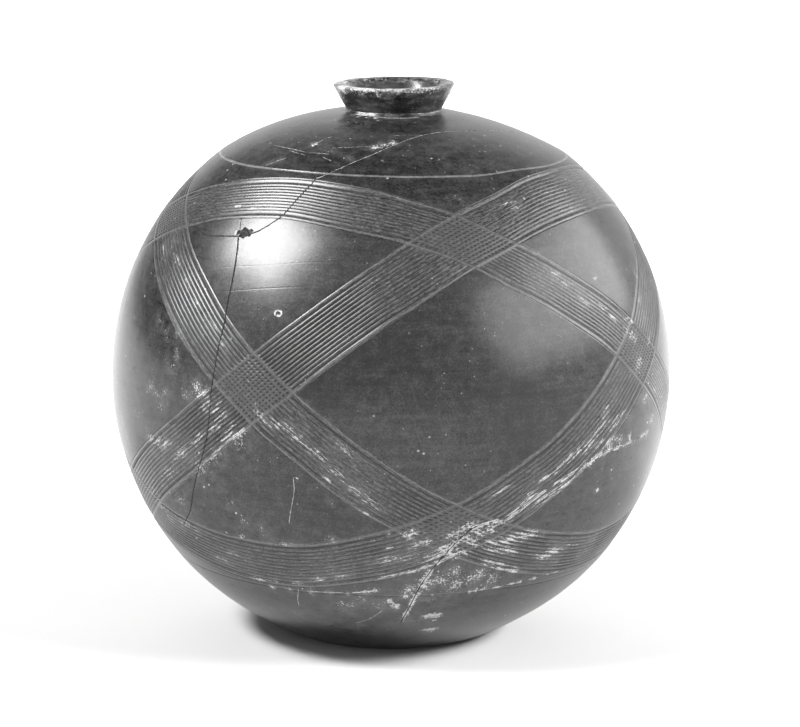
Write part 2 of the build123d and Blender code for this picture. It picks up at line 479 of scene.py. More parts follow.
# lines on the surface, placed by pixels of the photograph, with sizes in mm
paleCracks = [
    dict(half=0.22, depth=0.1, pixels=[
        (523, 133), (482, 130), (446, 131), (418, 136), (395, 144), (370, 155), (330, 172), (316, 178),
    ]),
]
cracks = [  # halo: chalky soil along the edges
    dict(half=0.17, depth=0.35, pixels=[
        (316, 178), (300, 195), (290, 206), (281, 216), (270, 224), (258, 231), (249, 234),
    ]),
    dict(half=0.28, depth=0.5, pixels=[
        (238, 237), (237, 250), (233, 275), (230, 290), (226, 310), (222, 330), (213, 375), (210, 395), (207, 430),
        (203, 450), (197, 472), (193, 490), (190, 510), (183, 525),
    ]),
    dict(half=0.13, depth=0.2, pixels=[(238, 236), (222, 236), (207, 235.5), (199, 231)]),
    dict(half=0.12, depth=0.15, pixels=[(239.5, 230), (240.5, 220)]),
    dict(half=0.14, depth=0.2, halo=1.0, pixels=[
        (620, 447), (600, 455), (560, 482), (520, 510), (495, 522), (478, 527),
    ]),
    dict(half=0.12, depth=0.15, halo=0.6, pixels=[(648, 433), (635, 440), (620, 447)]),
    dict(half=0.3, depth=0.5, halo=1.35, pixels=[
        (478, 527), (470, 531), (455, 545), (443, 558), (432, 570), (420, 587), (410, 606), (401, 622),
    ]),
]
chalkLines = [  # half the width, pixels, how much
    (0.75, [(468, 592.5), (476, 591.5), (485, 590)]),
    (0.6, [(493, 588.5), (502, 587)]),
    (0.55, [(508, 585.5), (522, 582.5)]),
    (0.5, [(530, 580), (538, 578)]),
    (0.4, [(546, 575.5), (560, 571)]),
    (0.45, [(308, 591.5), (322, 592.5), (345, 593)]),
    (0.8, [(352, 593), (366, 592), (374, 591)]),
    (4.4, [(427, 616), (437, 615)]),
    (4.0, [(427, 630), (433, 629)]),
    (1.8, [(418, 593), (420, 594)]),
    (2.2, [(388, 600), (391, 602)]),
    (2.0, [(395, 606), (399, 605)]),
    (1.1, [(376, 117), (390, 118), (404, 118.2), (417, 117.5)], 0.85),
    (0.2, [(274, 145), (290, 148), (305, 151.5)]),
    (0.2, [(289, 150), (305, 154.5)]),
    (0.22, [(310, 152), (329, 153.5)]),
    (0.22, [(322, 156), (331, 160)]),
    (0.15, [(313, 145), (321, 140), (332, 135.5)]),
    (0.17, [(333, 147), (350, 146.5), (371, 146)]),
    (0.15, [(390, 135.5), (406, 134.5), (423, 135)]),
    (0.2, [(266, 165), (276, 161), (287, 157)]),
    (0.26, [(293, 478), (294, 490), (292, 503), (289, 523)]),
    (0.3, [(298, 590), (297.5, 600), (299, 607)]),
    (0.25, [(355, 624), (370, 619), (382, 611)]),
]
burnishLines = [
    dict(half=0.24, depth=0.02, pixels=[(207, 269), (240, 266), (280, 264), (326, 262)]),
    dict(half=0.24, depth=0.03, pixels=[(216, 291), (240, 290), (270, 288), (302, 287)]),
]
chalkLines = [dict(zip(("half", "pixels", "much"), line)) for line in chalkLines]
kinds = ("chalkLine", paleCracks), ("crack", cracks), ("chalkLine", chalkLines), ("burnish", burnishLines)
marks = [dict(depth=0, halo=0, much=1, kind=kind) | mark for kind, group in kinds for mark in group]
scoring = dict(seed=40, pathStep=3.5, jitter=0.05, near=6.0, reach=1.1, verge=0.3, measured=4.0, farOff=9.0)


def markPath(mark, seed):  # smooth line through its pixels, on the unit sphere
    rng = np.random.default_rng(seed)
    corners = markedAt(mark["pixels"])
    padded = np.concatenate([2 * corners[:1] - corners[1:2], corners, 2 * corners[-1:] - corners[-2:-1]])
    path = [corners[0]]
    for a, b, c, d in zip(padded, padded[1:], padded[2:], padded[3:]):
        count = max(1, round(np.linalg.norm(c - b) * globe["radius"] / scoring["pathStep"]))
        for k in range(1, count + 1):
            t = k / count
            q = b + 0.5 * t * (c - a + t * (2 * a - 5 * b + 4 * c - d + t * (3 * (b - c) + d - a)))
            path.append(q + (k < count) * rng.normal(0, scoring["jitter"] / globe["radius"], 3))
    return unit(np.array(path))


def carve(points, faces, chosen, work):  # cuts some of the faces in a mesh of their own
    used = sorted({v for k in chosen for v in faces[k]})
    part = bmesh.new()
    made = {v: part.verts.new(points[v]) for v in used}
    for k in chosen:
        part.faces.new([made[v] for v in faces[k]])
    work(part)
    bmesh.ops.triangulate(part, faces=[f for f in part.faces if len(f.verts) > 4])
    number = {vert: v for v, vert in made.items()}
    fresh = [vert for vert in part.verts if vert not in number]
    number.update((vert, len(points) + n) for n, vert in enumerate(fresh))
    points = np.concatenate([points, unit(np.array([vert.co for vert in fresh]))])
    cut = [[number[vert] for vert in f.verts] for f in part.faces]
    part.free()
    gone = set(chosen)
    return points, [f for k, f in enumerate(faces) if k not in gone] + cut


def scoreMarks(part):
    for mark in marks:
        path = [Vector(q) for q in mark["path"]]
        pool = set(part.faces)
        for start, end in zip(path, path[1:]):
            normal = start.cross(end).normalized()
            halfway, reach = (start + end) / 2, (end - start).length / 2 + scoring["reach"] / globe["radius"]
            faces = [f for f in pool if f.is_valid and (f.calc_center_median() - halfway).length < reach]
            outside = mark["half"] + scoring["verge"]
            for offset in (-outside, -mark["half"], 0, mark["half"], outside):
                geom = set(faces).union(*(f.edges for f in faces), *(f.verts for f in faces))
                at = normal * (offset / globe["radius"])
                done = bmesh.ops.bisect_plane(part, geom=list(geom), dist=2e-5, plane_co=at, plane_no=normal)
                faces = [g for g in done["geom"] if isinstance(g, bmesh.types.BMFace)]
            pool.update(faces)


def scoreEquator(part):
    geom = part.verts[:] + part.edges[:] + part.faces[:]
    bmesh.ops.bisect_plane(part, geom=geom, dist=1e-6, plane_co=(0, 0, 0), plane_no=(0, 0, 1))


p = np.concatenate(skin.points)
skinFaces = [f for block in skin.faces for f in block.tolist()]
centres = np.concatenate([p[block].mean(1) for block in skin.faces])
nearMark = np.zeros(len(centres), bool)
for number, mark in enumerate(marks):
    mark["path"] = markPath(mark, scoring["seed"] + number)
    for q in mark["path"]:
        nearMark |= ((centres - q) ** 2).sum(1) < (scoring["near"] / globe["radius"]) ** 2
p, skinFaces = carve(p, skinFaces, np.flatnonzero(nearMark).tolist(), scoreMarks)
heights = p[:, 2]
astride = [k for k, f in enumerate(skinFaces) if min(heights[f]) < -1e-6 and max(heights[f]) > 1e-6]
p, skinFaces = carve(p, skinFaces, astride, scoreEquator)
print("skin cut:", len(p), "points,", len(skinFaces), "faces")


def pathDistance(path, points):  # mm from a path on the unit sphere
    best = np.full(len(points), scoring["farOff"])
    for a, b in zip(path, path[1:]):
        limit = np.linalg.norm(b - a) / 2 + scoring["measured"] / globe["radius"]
        close = ((points - (a + b) / 2) ** 2).sum(1) < limit**2
        q, along = points[close] - a, b - a
        t = np.clip(q @ along / (along @ along), 0, 1)
        best[close] = np.minimum(best[close], np.linalg.norm(q - t[:, None] * along, axis=1) * globe["radius"])
    return best


# heights over the plain form, and what the finish needs to know of each point
spots = p * globe["radius"]
combed = zip(*[combing(b, across(b, p)) for b in bands])
fineAll, borderAll, edgeAll, beadAll, insideAll = (np.array(x) for x in combed)
count = insideAll.sum(0)
crossed = count - insideAll > 0
pressed = [np.interp(np.degrees(turnOf(b, p)), *np.array(b["press"]).T, period=360) for b in bands]
fineAll = np.where(crossed, np.maximum(fineAll, borderAll), fineAll * pressed)
edgePress = 1 + comb["pressedEdge"] * (np.array(pressed) - 1)
edgeAll = edgeAll * np.where(crossed, comb["crossedEdge"], edgePress)
beadAll = beadAll * np.where(crossed, comb["crossedBead"], 1)
both = np.where(insideAll, fineAll, 1).prod(0) * (count > 0)
both = np.where(count > 1, both ** comb["pitPower"], both)
varied = 1 + comb["fineRipple"] * (ripple(spots, 5, 30) - 1)
groove = np.where(count > 1, comb["pitDepth"], comb["fineDepth"]) * both * varied
groove = np.maximum(groove, edgeAll.max(0) * (1 + comb["edgeRipple"] * (ripple(spots, 6, 40) - 1)))
height = -groove + comb["beadHeight"] * beadAll.max(0) - comb["sunk"] * (count > 0)
latitudes = latitudeOf(p)
ringLine = np.zeros(len(p))
for ring, deep, pale in zip((globe["upperRing"], globe["lowerRing"]), globe["ringDepth"], globe["ringPale"]):
    trough = np.clip(1 - np.abs(latitudes - ring) / globe["ringHalf"], 0, 1)
    height -= deep * trough
    ringLine = np.maximum(ringLine, trough * pale)
halo = np.zeros(len(p))
masks = dict(crack=np.zeros(len(p)), chalkLine=np.zeros(len(p)))
for mark in marks:
    away = pathDistance(mark["path"], p)
    within = np.clip(1 - away / mark["half"], 0, 1) * mark["much"]
    height -= mark["depth"] * within
    if mark["kind"] in masks:
        masks[mark["kind"]] = np.maximum(masks[mark["kind"]], within)
    if mark["halo"]:
        halo = np.maximum(halo, np.exp(-((away / mark["halo"]) ** 2)))


def beside(pixel, size):  # distance from a pixel's point, in shares of a size across and upwards in mm
    at = markedAt(pixel)[0]
    east = unit(np.cross([0, 0, 1.0], at))
    offset = (p - at) * globe["radius"]
    away = np.hypot(offset @ east / size[0], offset @ np.cross(at, east) / size[1])
    return np.where(np.linalg.norm(offset, axis=1) < scoring["farOff"], away, scoring["farOff"])


spread = beside(chip["pixel"], chip["size"])
chipped = smooth(1.0, 0.7, spread + chip["ragged"] * ripple(spots, 8, 1.6)) * (spread < 1.5)
height -= chip["depth"] * chipped * (chip["floor"][0] + chip["floor"][1] * ripple(spots, 9, 1.1))
markAway = beside(ringMark["pixel"], (ringMark["wide"], 1))
rim = np.clip(1 - np.abs(markAway - ringMark["radius"]) / ringMark["half"], 0, 1)
height += ringMark["depth"] * (0.5 * rim - (markAway < ringMark["radius"] - ringMark["half"] * 0.5))
masks["chalkLine"] = np.maximum(masks["chalkLine"], rim)

# chalky soil left on the surface
chalkPatches = [  # radius in pixels, how much, pixels
    (11, 0.74, [  # where the two lowest bands cross
        (455, 535), (465, 528), (470, 540), (478, 533), (445, 548), (440, 553), (452, 556), (462, 553), (474, 545),
        (430, 562), (437, 557), (420, 545), (412, 535),
    ]),
    (8, 0.8, [  # lower edge of the band that rises to the right
        (490, 531), (500, 523), (512, 517), (524, 508), (540, 503), (548, 497), (556, 490), (565, 484), (575, 474),
        (583, 469), (592, 462), (560, 467), (572, 455), (580, 450), (590, 447), (600, 443), (610, 441), (620, 440),
        (630, 436), (566, 462), (502, 490), (530, 498), (545, 480),
    ]),
    (9, 0.9, [  # band that goes on to the right
        (495, 545), (505, 541), (515, 540), (525, 537), (532, 533), (495, 552), (488, 563), (502, 568), (514, 571),
        (510, 552), (545, 558), (552, 552),
    ]),
    (12, 0.55, [(560, 548), (575, 545), (590, 541), (560, 562), (580, 556)]),
    (13, 0.78, [  # under the crossing
        (440, 580), (455, 585), (470, 580), (480, 575), (455, 572), (425, 585), (410, 590), (492, 580),
    ]),
    (15, 0.5, [  # dust low on the base
        (330, 625), (360, 628), (390, 628), (415, 622), (300, 614), (345, 612), (430, 600), (448, 592),
    ]),
    (4, 1.0, [(470, 592), (476, 591), (484, 590), (497, 588), (512, 584), (520, 582), (534, 579)]),
    (3, 1.0, [(603, 465), (598, 489), (390, 534), (390, 549), (419, 594)]),
    (5, 0.9, [(432, 616), (434, 620), (430, 631), (390, 600), (393, 606), (405, 597), (398, 609)]),
    (6, 0.8, [  # lower edges of the bands over the base, and the ring line under them
        (385, 576), (400, 573), (415, 570), (428, 566), (258, 580), (275, 582), (300, 584), (318, 580), (340, 578),
        (272, 588), (290, 590), (310, 592), (330, 593), (348, 594), (366, 592), (375, 590),
    ]),
    (10, 0.64, [(340, 604), (350, 606), (362, 600), (380, 605), (400, 560), (385, 562)]),
    (10, 0.75, [  # band that falls to the left
        (195, 388), (200, 395), (205, 405), (215, 408), (222, 415), (230, 430), (238, 436), (225, 440), (215, 428),
        (240, 445), (150, 437), (158, 440), (165, 446), (180, 455), (196, 440),
    ]),
    (17, 0.6, [  # its end at the left side
        (166, 474), (152, 488), (180, 500), (172, 520), (200, 470), (215, 455), (160, 505), (190, 528),
    ]),
    (10, 0.65, [  # band that falls to the right
        (262, 418), (275, 425), (288, 430), (296, 438), (308, 449), (320, 458), (334, 470), (343, 450), (355, 490),
        (372, 505),
    ]),
    (9, 0.6, [
        (168, 342), (175, 350), (176, 358), (156, 393), (159, 405), (122, 418), (128, 440), (160, 318), (166, 330),
        (178, 335), (172, 365), (150, 385), (164, 392), (185, 395), (200, 385),
    ]),
    (8, 0.66, [(228, 502), (243, 520), (262, 532), (240, 536), (222, 560), (232, 554), (282, 545), (330, 540)]),
    (4, 0.85, [(332, 500), (338, 512), (366, 514), (368, 530), (326, 478), (296, 478)]),
    (8, 0.6, [  # steep band on the left
        (163, 248), (176, 262), (186, 282), (196, 302), (205, 318), (212, 323), (172, 240), (222, 345),
    ]),
    (3, 1.0, [(236, 206), (239, 205), (252, 208)]),
    (6, 0.6, [(505, 204), (512, 203), (518, 206), (460, 205), (548, 192), (566, 178)]),
    (12, 0.7, [(640, 360), (632, 335), (646, 398), (652, 420), (618, 420), (600, 430), (590, 442), (610, 405)]),
    (6, 0.75, [  # right side
        (640, 300), (645, 316), (632, 322), (626, 318), (650, 336), (655, 390), (658, 402), (603, 306), (612, 315),
        (585, 300), (563, 280), (558, 274), (636, 275),
    ]),
    (2.5, 1.0, [(587, 229), (615, 255), (612, 262), (595, 277), (582, 345), (563, 378)]),
    (6, 0.9, [(380, 146), (374, 147), (386, 144), (393, 142), (314, 144)]),
    (11, 0.45, [(348, 158), (275, 161), (283, 158), (330, 148), (440, 160), (472, 168)]),
    (5, 0.85, [  # shoulder just under the collar
        (345, 113), (352, 115), (359, 116.5), (367, 117.5), (376, 118), (428, 115), (437, 113),
    ]),
    (9, 0.5, [(392, 119.5), (404, 119), (350, 121), (362, 123), (335, 118), (420, 118)]),
]
alongRidges = (1.9, 1 / 1.5)  # how far a patch stretches along and across a band
farChalk = dict(side=(-0.15, 0.25), usual=0.3, varies=0.25, size=70, most=0.6)  # in the grooves of the far side
chalk = halo * np.clip(0.95 + 0.45 * ripple(spots, 14, 6), 0, 1.3)
inBand = np.argmin([np.abs(across(b, p)) for b in bands], axis=0)
lane = np.zeros((len(p), 3))  # mm along and across the band that a point is in
for number, band in enumerate(bands):
    here = inBand == number
    turns = (turnOf(band, p[here]) - turnOf(band, np.array([0, 1.0, 0]))) % (2 * pi)
    along = turns * sin(band["opening"]) * globe["radius"]
    lane[here] = np.stack([along, np.radians(across(band, p[here])) * globe["radius"], 0 * along + 90 * number], -1)
for radius, much, pixels in chalkPatches:
    radius = radius * view["distance"] / view["focalPixels"]
    for q in markedAt(pixels):
        away = np.linalg.norm(p - q, axis=1) * globe["radius"]
        near = np.flatnonzero(away < 4 * radius)
        first = near[np.argmin(away[near])]
        away = away[near] / radius
        if count[first]:  # it stretches along the ridges
            step = lane[near] - lane[first]
            stretched = np.hypot(*(step[:, :2] / alongRidges).T) / radius
            away = np.where(inBand[near] == inBand[first], stretched, away)
        chalk[near] = np.maximum(chalk[near], much * np.exp(-(away**2)))
far = smooth(*farChalk["side"], p[:, 1]) * (count > 0)
faint = farChalk["usual"] + farChalk["varies"] * ripple(spots, 12, farChalk["size"])
chalk = np.maximum(chalk, far * np.clip(faint, 0, farChalk["most"]))
masks.update(
    groove=groove / comb["fullGroove"],
    bead=beadAll.max(0),
    band=(count > 0) * 1.0,
    crossing=(count > 1) * 1.0,
    ringLine=ringLine,
    chip=chipped,
    chalk=chalk,
)

height += globe["unevenness"] * (ripple(spots, 3, 90) - 1.2) * calm(p)
walk = unit(p + straying(p))
outer = middle + walk * (plainRadius(walk) + height)[:, None]
outer[:, 2] = np.maximum(outer[:, 2], 0)
print("skin shaped")

# smooth normals of the whole skin, so that no joint shows in the shine
whole = meshOf("whole", outer, skinFaces)
outerNormals = np.zeros(len(outer) * 3)
whole.vertex_normals.foreach_get("vector", outerNormals)
outerNormals = outerNormals.reshape(-1, 3)
bpy.data.meshes.remove(whole)
corners = np.concatenate(skinFaces)
sizes = np.array([len(f) for f in skinFaces])
faceMiddle = np.add.reduceat(latitudes[corners], np.cumsum(sizes) - sizes) / sizes


class Wall:  # one closed piece of the vessel's wall: its share of the skin, its inside and its joints
    def __init__(self, low, high):
        chosen = np.flatnonzero((faceMiddle > low) & (faceMiddle < high))
        self.used = np.unique(np.concatenate([skinFaces[k] for k in chosen]))
        new = np.full(len(outer), -1)
        new[self.used] = np.arange(len(self.used))
        self.points = list(outer[self.used])
        self.faces = [new[skinFaces[k]].tolist() for k in chosen]
        self.skinCount = len(self.faces)
        seen = {(a, b) for f in self.faces for a, b in zip(f, f[1:] + f[:1])}
        self.borders = chains({b: a for a, b in seen if (b, a) not in seen})
        self.borders.sort(key=lambda loop: np.mean([self.points[k][2] for k in loop]))

    def ring(self, radius, z, columns=96):
        turns = np.arange(columns) * 2 * pi / columns
        start = len(self.points)
        self.points += [np.array([radius * sin(t), -radius * cos(t), z]) for t in turns]
        return list(range(start, start + columns))

    def azimuth(self, k):
        return atan2(self.points[k][0], -self.points[k][1]) % (2 * pi)

    def zip(self, one, two, flip):  # triangles between two loops round the axis
        one, two = sorted(one, key=self.azimuth), sorted(two, key=self.azimuth)
        a = b = 0
        while a < len(one) or b < len(two):
            nextOne = self.azimuth(one[a + 1]) if a + 1 < len(one) else 2 * pi + (a >= len(one))
            nextTwo = self.azimuth(two[b + 1]) if b + 1 < len(two) else 2 * pi + (b >= len(two))
            p, q = one[a % len(one)], two[b % len(two)]
            if nextOne <= nextTwo and a < len(one):
                face, a = [p, q, one[(a + 1) % len(one)]], a + 1
            else:
                face, b = [p, q, two[(b + 1) % len(two)]], b + 1
            self.faces.append(face[::-1] if flip else face)

    def fan(self, loop, z, flip):
        self.points.append(np.array([0, 0, z]))
        loop = sorted(loop, key=self.azimuth)
        for a, b in zip(loop, loop[1:] + loop[:1]):
            face = [a, b, len(self.points) - 1]
            self.faces.append(face[::-1] if flip else face)

    def inside(self, profile, bottom, top=None):  # rings from the lower border up to the upper one
        for radius, z in profile:
            ring = self.ring(radius, z)
            self.zip(bottom, ring, True)
            bottom = ring
        if top is not None:
            self.zip(bottom, top, True)
        return bottom


hollow = dict(
    radius=113.5,
    floor=9.0,
    wall=6.5,
    throat=15.0,
    bevel=2.02,  # degrees that a joint climbs
    crownBevel=4.0,  # mm that the upper one climbs
    footRings=((42.9, 0.05), (42.0, 0.0), (30.0, 0.0), (15.0, 0.0)),  # radius and height, under the base
    fineOver=40.0,  # rings wider than this have as many columns as the skin
)
crownInside = crownRadius - hollow["wall"]


def arc(radius, drop, low, high, steps):  # points of the inside, as radius and height
    turns = np.radians(np.linspace(low, high, steps))
    return [(radius * cos(t), globe["centreHeight"] - drop + radius * sin(t)) for t in turns]


crownStart = np.degrees(atan2(crownDepth, ringRadius)) + np.degrees(hollow["crownBevel"] / crownInside)
crownEnd = np.degrees(np.arccos(hollow["throat"] / crownInside))
floorLatitude = -np.degrees(np.arcsin((globe["centreHeight"] - hollow["floor"]) / hollow["radius"]))
lowerInside = globe["lowerRing"] + hollow["bevel"]

base = Wall(-90, globe["lowerRing"])
foot = base.borders[0]
for radius, z in hollow["footRings"]:
    ring = base.ring(radius, z, *[globe["columns"]] * (radius > hollow["fineOver"]))
    base.zip(foot, ring, True)
    foot = ring
base.fan(foot, 0.0, False)
inner = base.inside(arc(hollow["radius"], 0, lowerInside, floorLatitude, 12), base.borders[1])
base.fan(inner, hollow["floor"], True)
lower = Wall(globe["lowerRing"], 0)
lower.inside(arc(hollow["radius"], 0, lowerInside, hollow["bevel"], 14), *lower.borders)
upper = Wall(0, globe["upperRing"])
upperInside = arc(hollow["radius"], 0, hollow["bevel"], globe["upperRing"] - 3, 16)
upper.inside(upperInside + arc(crownInside, crownDrop, crownStart, crownStart, 1), *upper.borders)
cap = Wall(globe["upperRing"], 90)
capInside = arc(crownInside, crownDrop, crownStart, crownEnd, 14)
cap.inside(capInside + [(hollow["throat"], shoulder["seatHeight"])], *cap.borders)
print("walls closed")


def shown(name, data, node, finish):
    piece = added(name, data)
    data.materials.append(finish)
    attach(piece, "root")
    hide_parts(node)
    vessel.objects.link(piece)


def store(data, label, values):  # a number or a vector for each point
    kind, key = ("FLOAT_VECTOR", "vector") if values.ndim > 1 else ("FLOAT", "value")
    layer = data.attributes.new(label, kind, "POINT")
    layer.data.foreach_set(key, values.ravel().astype(np.float32))


def wallPiece(name, wall, node, finish):
    data = meshOf(name, wall.points, wall.faces)
    flags = np.zeros(len(wall.faces), bool)
    flags[: wall.skinCount] = True
    data.polygons.foreach_set("use_smooth", flags)
    own = np.zeros((len(wall.points), 3))
    own[: len(wall.used)] = outerNormals[wall.used]
    corners = np.zeros(len(data.loops), int)
    data.loops.foreach_get("vertex_index", corners)
    onSkinFace = np.repeat(flags, [len(f) for f in wall.faces])
    data.normals_split_custom_set((own[corners] * onSkinFace[:, None]).tolist())
    for label, values in dict(masks, lane=lane).items():
        full = np.zeros((len(wall.points), *values.shape[1:]))
        full[: len(wall.used)] = values[wall.used]
        store(data, label, full)
    shown(name, data, node, finish)


# finishes
class Strand:  # a socket, with arithmetic that adds Math nodes
    def __init__(self, finish, socket):
        self.finish, self.socket = finish, socket

    def also(self, name):  # another output of the same node
        return Strand(self.finish, self.socket.node.outputs[name])

    def math(self, operation, *values):
        return self.finish.node("ShaderNodeMath", dict(operation=operation), values)

    def __add__(self, other):
        return self.math("ADD", self, other)

    def __sub__(self, other):
        return self.math("SUBTRACT", self, other)

    def __rsub__(self, other):
        return self.math("SUBTRACT", other, self)

    def __mul__(self, other):
        return self.math("MULTIPLY", self, other)

    def atLeast(self, other):
        return self.math("MAXIMUM", self, other)

    __radd__, __rmul__ = __add__, __mul__


class Finish:
    def __init__(self, tree):
        self.tree = tree
        tree.nodes.clear()

    def node(self, kind, settings=None, sockets=(), out=0):
        made = self.tree.nodes.new(kind)
        for key, value in (settings or {}).items():
            setattr(made, key, value)
        for key, value in sockets.items() if isinstance(sockets, dict) else enumerate(sockets):
            if isinstance(value, Strand):
                self.tree.links.new(value.socket, made.inputs[key])
            else:
                made.inputs[key].default_value = value
        return Strand(self, made.outputs[out]) if made.outputs else None

    def place(self):
        return self.node("ShaderNodeTexCoord", out="Object")

    def stretched(self, place, scale):
        return self.node("ShaderNodeVectorMath", dict(operation="MULTIPLY"), [place, scale])

    def noise(self, place, scale, detail=3.0, rough=0.5):
        sockets = {"Vector": place, "Scale": scale, "Detail": detail, "Roughness": rough}
        return self.node("ShaderNodeTexNoise", {}, sockets)

    def cells(self, place, scale):
        return self.node("ShaderNodeTexVoronoi", {}, {"Vector": place, "Scale": scale}, out="Distance")

    def step(self, value, low, high):  # smooth 0 to 1 between two values
        sockets = {"Value": value, "From Min": low, "From Max": high}
        return self.node("ShaderNodeMapRange", dict(interpolation_type="SMOOTHSTEP"), sockets)

    def mask(self, name, out="Fac"):
        return self.node("ShaderNodeAttribute", dict(attribute_name=name), out=out)

    def mix(self, factor, a, b):  # two colours, or greys given as one number
        tones = [tone if isinstance(tone, Strand) else (tone, tone, tone, 1) for tone in (a, b)]
        return self.node("ShaderNodeMix", dict(data_type="RGBA"), {0: factor, 6: tones[0], 7: tones[1]}, out=2)

    def close(self, colour, roughness, relief, specular, coat=0.0):  # relief in mm
        bump = self.node("ShaderNodeBump", {}, {"Strength": 1.0, "Distance": mm, "Height": relief})
        sockets = {"Base Color": colour, "Roughness": roughness, "Normal": bump, "Specular IOR Level": specular}
        sockets.update({"Coat Weight": coat, "Coat Roughness": ware["coatRoughness"]})
        shader = self.node("ShaderNodeBsdfPrincipled", {}, sockets)
        self.node("ShaderNodeOutputMaterial", {}, [shader])


def newFinish(name):
    material = bpy.data.materials.new(name)
    material.use_nodes = True
    return material, Finish(material.node_tree)


ware = dict(
    dark=0.003,
    light=0.04,
    # groove: colour of the combing's grooves, a painted shade in their hollows
    groove=0.006,
    ridge=0.085,
    # bead: a painted highlight along the beads' crests
    bead=0.1,
    bareFrom=0.04,  # heights between which the polish fades out on the base
    bareTo=0.03,
    ringLine=0.17,
    haze=0.2,
    chalk=0.58,
    speck=0.36,
    crack=0.003,
    specular=0.43,
    coat=0.4,
    coatRoughness=0.22,
    strokes=(34, 34, 560),  # strokes of the burnishing pebble run round the vessel
    wear=(0.16, 1.7, 1),  # along and across a band, for each mm
    dashes=(0.5, 1.9, 1),
)


def burnishedWare():
    material, f = newFinish("burnishedWare")
    place = f.place()
    names = ("groove", "bead", "band", "crossing", "ringLine", "crack", "chip", "chalk", "chalkLine")
    groove, bead, band, crossing, ringLine, crack, chip, chalk, chalkLine = (f.mask(name) for name in names)
    lane = f.mask("lane", "Vector")
    streak = f.noise(f.stretched(place, ware["strokes"]), 1.0, 4.0, 0.6)
    wear = f.noise(f.stretched(lane, ware["wear"]), 1.0, 3.0, 0.65)
    dashes = f.noise(f.stretched(lane, ware["dashes"]), 1.0, 3.0, 0.6)
    cloud, mottle = f.noise(place, 16, 3.0), f.noise(place, 210, 5.0, 0.7)
    grain, dust = f.noise(place, 1300, 3.0, 0.65), f.noise(place, 700, 6.0, 0.8)
    tone = f.step(cloud * 0.2 + mottle * 0.3 + streak * 0.15 + grain * 0.35, 0.43, 0.66)
    colour = f.mix(tone, ware["dark"], ware["light"])
    ridge = 1 - f.step(groove, 0.1, 0.55)
    worn = f.step(wear * 0.4 + dashes * 0.4 + grain * 0.2, 0.42, 0.6)
    worn = worn * (1 - crossing * 0.6) + crossing * (dust * 1.8 - 0.56)
    colour = f.mix(band * ridge, colour, f.mix(worn, ware["ridge"] * 0.08, ware["ridge"]))
    # grooves, and the pits where bands cross, painted near black: painted shade in the hollows
    colour = f.mix(band * f.step(groove, 0.25, 0.8), colour, ware["groove"])
    # beads painted paler: painted highlight along their crests, broken up by wear and dust
    colour = f.mix(f.step(bead, 0.25, 0.8) * f.step(wear * 0.6 + dust * 0.4, 0.3, 0.62), colour, ware["bead"])
    colour = f.mix(f.step(ringLine, 0.04, 0.6) * (mottle * 1.6 + dust * 0.9 - 0.65), colour, ware["ringLine"])
    colour = f.mix(chalk * f.step(mottle, 0.3, 0.75) * 0.5, colour, ware["haze"])
    cells, fineCells = f.cells(place, 450), f.cells(place, 1000)
    pick = f.node("ShaderNodeSeparateColor", {}, [cells.also("Color")])
    finePick = f.node("ShaderNodeSeparateColor", {}, [fineCells.also("Color")])
    speck = f.step(cells, 0.3, 0.14) * f.step(pick + cloud * 0.3 + chalk * 0.08, 1.135, 1.15)
    speck = speck * (0.2 + pick.also("Green") * 0.8)
    speck = speck.atLeast(f.step(fineCells, 0.34, 0.2) * f.step(finePick + mottle * 0.3, 1.13, 1.16) * 0.5)
    colour = f.mix(speck, colour, ware["speck"])
    flake = dust * 0.75 + grain * 0.6 - 0.175
    flake = flake + band * (1 - crossing * 0.7) * ((wear - 0.5) * 0.7 + (dashes - 0.5) * 0.5 - (flake - 0.5) * 0.75)
    chalky = f.step(flake + chalk * (0.46 + band * (ridge - 0.7) * 0.2), 0.78, 0.92)
    chalky = chalky.atLeast(f.step(chalkLine + (dust - 0.5) * 2.9, 0.44, 0.82)) * 0.92
    soil = f.mix(f.step(mottle * 0.5 + grain * 0.5, 0.35, 0.65), ware["chalk"] * 0.4, ware["chalk"])
    colour = f.mix(chalky, colour, soil)
    dark = f.step(crack, 0.1, 0.5).atLeast(f.step(chip, 0.3, 0.8) * f.step(dust, 0.72, 0.5))
    colour = f.mix(dark, colour, ware["crack"])
    rough = chalky.atLeast(dark).atLeast(band * f.step(groove, 0.2, 0.8))
    below = f.step(f.node("ShaderNodeSeparateXYZ", {}, [place], out="Z"), ware["bareFrom"], ware["bareTo"])
    rubbed = 0.55 + f.step(streak * 0.15 + mottle * 0.4 + grain * 0.45, 0.36, 0.64) * 0.43
    polish = (1 - below * 0.5) * rubbed.atLeast(band * ridge * (0.4 + worn * 0.7)) * (1 - crossing * 0.6)
    shine = 0.16 + streak * 0.08 + mottle * 0.08 + grain * 0.12 + rough * 0.4 + speck * 0.1
    relief = streak * 0.018 + grain * 0.02 + mottle * 0.05 + chalky * 0.03 + speck * 0.03
    f.close(colour, shine, relief, ware["specular"], polish * (1 - rough) * ware["coat"])
    return material


collarSizes = dict(
    foot=20.2,
    footHeight=1.6,
    height=12.7,
    lip=26.0,
    thick=4.4,
    throatRise=4.5,
    bulge=0.35,  # of the flare's outside
    thickened=0.9,  # the lip is thicker at the front left
    frontLeft=35,  # degrees
    parting=(1, 3.2),  # mm inside the foot's radius, and how far it widens, from the outside to the inside
    lipFrom=0.72,  # share of the height
    tilt=0.022,
    rounding=(0, 0, 1.0, 1.8, 1.9, 1.6),
    step=0.55,
    columns=288,
)
filletSizes = dict(
    width=2.6,
    height=1.4,
    hollow=0.45,
    rounding=(0, 0, 0.9, 0),
    step=0.35,
    columns=288,
    pale=[  # where it is painted pale: partly a wash of pale clay, partly a painted highlight where the cove catches the light
        dict(azimuth=-32, wide=20, much=0.75),
        dict(azimuth=50, wide=34, much=0.5),
        dict(azimuth=170, wide=60, much=0.6),
    ],
)


